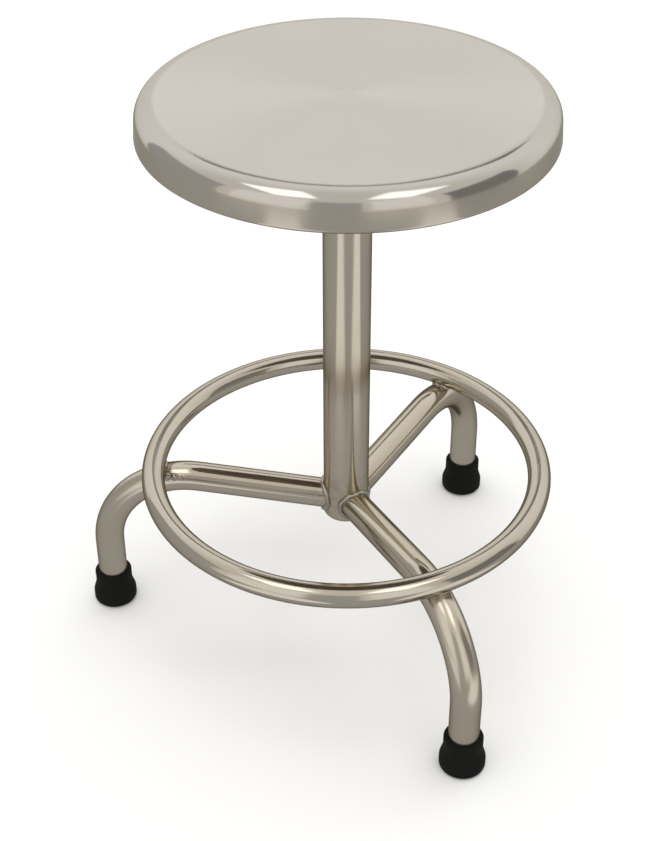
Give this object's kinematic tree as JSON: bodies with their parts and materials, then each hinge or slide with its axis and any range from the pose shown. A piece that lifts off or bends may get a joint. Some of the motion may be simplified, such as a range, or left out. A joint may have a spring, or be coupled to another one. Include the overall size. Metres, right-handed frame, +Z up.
{
  "type": "revolving stool",
  "caption": "Backless stool with a round steel seat that turns on a screw spindle to set its height, on a tube column with bent tube legs, a foot ring and rubber feet.",
  "frame": {"origin": "on the floor, at the column's axis", "axes": "+Z up along the column; -X towards the left leg; the legs stand at 180, 300 and 60 degrees about +Z"},
  "size_m": [0.3978, 0.3978, 0.494],
  "materials": {
    "seat_steel": "satin stainless sheet",
    "tube_steel": "polished stainless tube",
    "weld_steel": "dressed weld",
    "plain_steel": "plain mild steel",
    "screw_steel": "oiled screw",
    "zinc_steel": "zinc plated",
    "nut_brass": "machined",
    "nylon": "natural nylon",
    "foot_rubber": "matt black rubber"
  },
  "bodies": {
    "base": {"column_tube": "tube_steel", "column_end_cap": "tube_steel", "spindle_nut": "nut_brass", "left_leg": "tube_steel", "front_leg": "tube_steel", "rear_leg": "tube_steel", "foot_ring": "tube_steel", "leg_welds": "weld_steel", "ring_welds": "weld_steel", "left_foot": "foot_rubber", "front_foot": "foot_rubber", "rear_foot": "foot_rubber", "foot_washers": "zinc_steel"},
    "lift_washer": {"thrust_washer": "nylon"},
    "seat": {"seat_pan": "seat_steel", "mounting_dish": "plain_steel", "weld_nuts": "zinc_steel", "spindle_flange": "plain_steel", "flange_bolts": "zinc_steel", "flange_lock_washers": "zinc_steel", "spindle": "screw_steel", "spindle_weld": "weld_steel", "stop_washer": "zinc_steel", "stop_lock_washer": "zinc_steel", "stop_bolt": "zinc_steel"}
  },
  "joints": [
    {"name": "seat_rise", "type": "slide", "parent": "base", "child": "lift_washer", "axis": [0, 0, 1], "range_m": [0, 0.16]},
    {"name": "seat_turn", "type": "hinge", "parent": "lift_washer", "child": "seat", "pos_m": [0, 0, 0.4758], "axis": [0, 0, 1], "range_deg": [0, 11520]}
  ],
  "couplings": [
    {"joint": "seat_rise", "follows": "seat_turn", "m_per_rad": 0.00079577}
  ]
}
